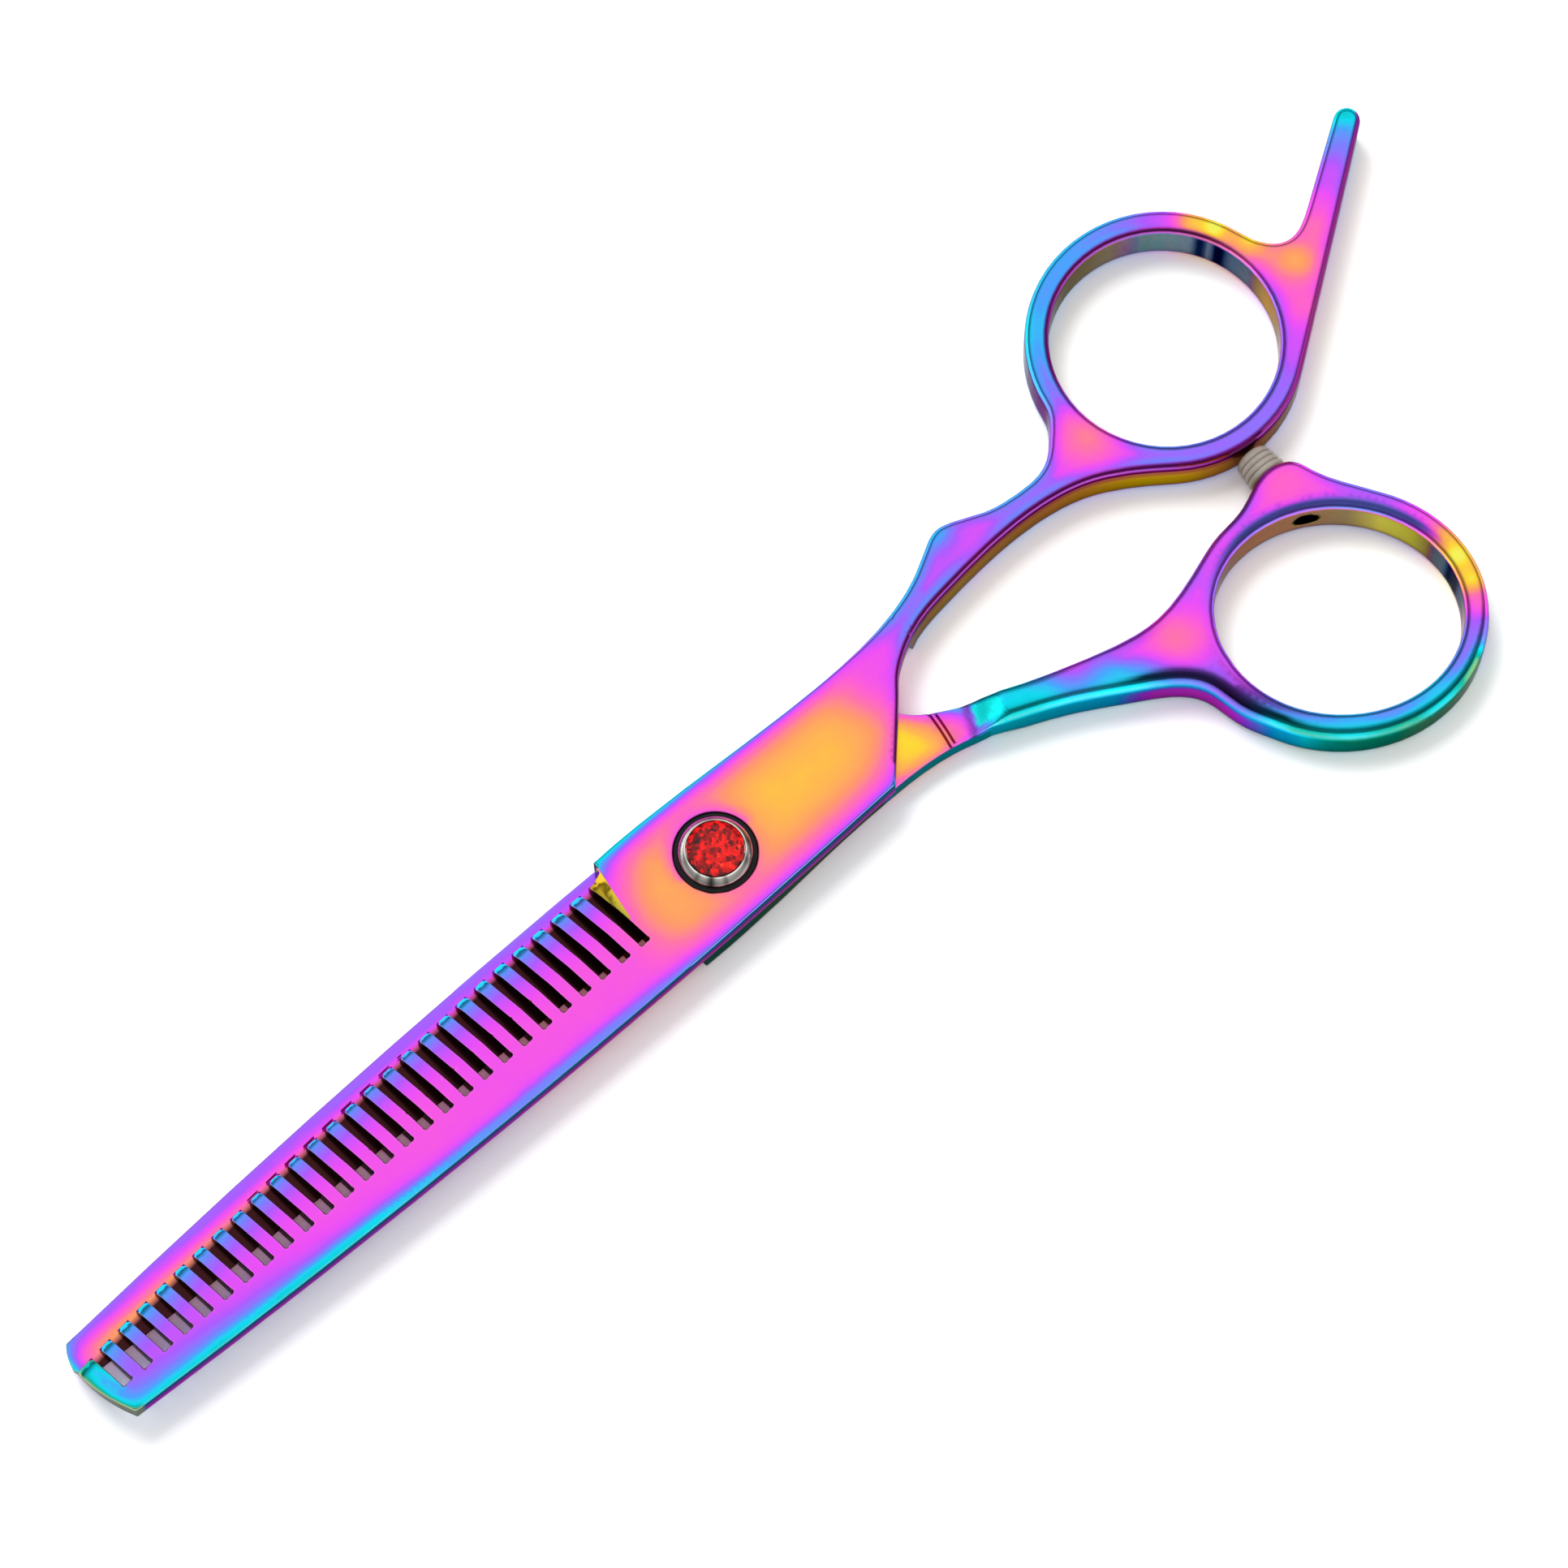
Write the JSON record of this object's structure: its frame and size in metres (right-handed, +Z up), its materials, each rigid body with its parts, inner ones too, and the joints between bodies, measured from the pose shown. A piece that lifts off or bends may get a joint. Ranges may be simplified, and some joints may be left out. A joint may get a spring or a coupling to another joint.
{
  "type": "thinning shears",
  "caption": "Hair thinning shears: a slotted comb blade over a plain blade on a jewelled pivot screw, with offset rings, a finger rest and a rubber bumper.",
  "frame": {"origin": "on the pivot axis, in the plane that the closed shears lie on, at the end of the pivot screw", "axes": "+X from the pivot towards the rings, -X towards the blade tips, +Y towards the finger ring, +Z up out of the screw's jewelled head"},
  "size_m": [0.1711, 0.0576, 0.0071],
  "materials": {
    "comb_steel": "mirror-polished steel with a rainbow interference coat",
    "plain_steel": "mirror-polished steel with a rainbow interference coat",
    "screw_steel": "bright turned steel",
    "red_stone": "clear red faceted stone on a foil back",
    "black_nylon": "smooth black nylon",
    "white_nylon": "smooth white nylon",
    "spring_steel": "oiled spring steel",
    "washer_steel": "satin steel",
    "nut_steel": "polished steel, cut grooves",
    "grey_rubber": "soft grey translucent rubber",
    "stem_steel": "satin steel"
  },
  "bodies": {
    "plain": {"plain_half": "plain_steel", "bumper_pad": "grey_rubber", "bumper_stem": "stem_steel", "ride_washer": "white_nylon", "spring_washer": "spring_steel"},
    "comb": {"comb_half": "comb_steel", "pivot_screw": "screw_steel", "pivot_jewel": "red_stone", "head_washer": "black_nylon"},
    "thrust": {"thrust_washer": "washer_steel"},
    "nut": {"tension_nut": "nut_steel"}
  },
  "joints": [
    {"name": "shear_pivot", "type": "hinge", "parent": "plain", "child": "comb", "pos_m": [0, 0, 0.00325], "axis": [0, 0, 1], "range_deg": [0, 90]},
    {"name": "tension_travel", "type": "slide", "parent": "comb", "child": "thrust", "axis": [0, 0, 1], "range_m": [0, 0.000208], "deforming": ["spring_washer"]},
    {"name": "tension_turn", "type": "hinge", "parent": "thrust", "child": "nut", "pos_m": [0, 0, 0.0005], "axis": [0, 0, 1], "range_deg": [0, 150]}
  ],
  "couplings": [
    {"joint": "tension_turn", "follows": "tension_travel", "rad_per_m": 12566}
  ]
}
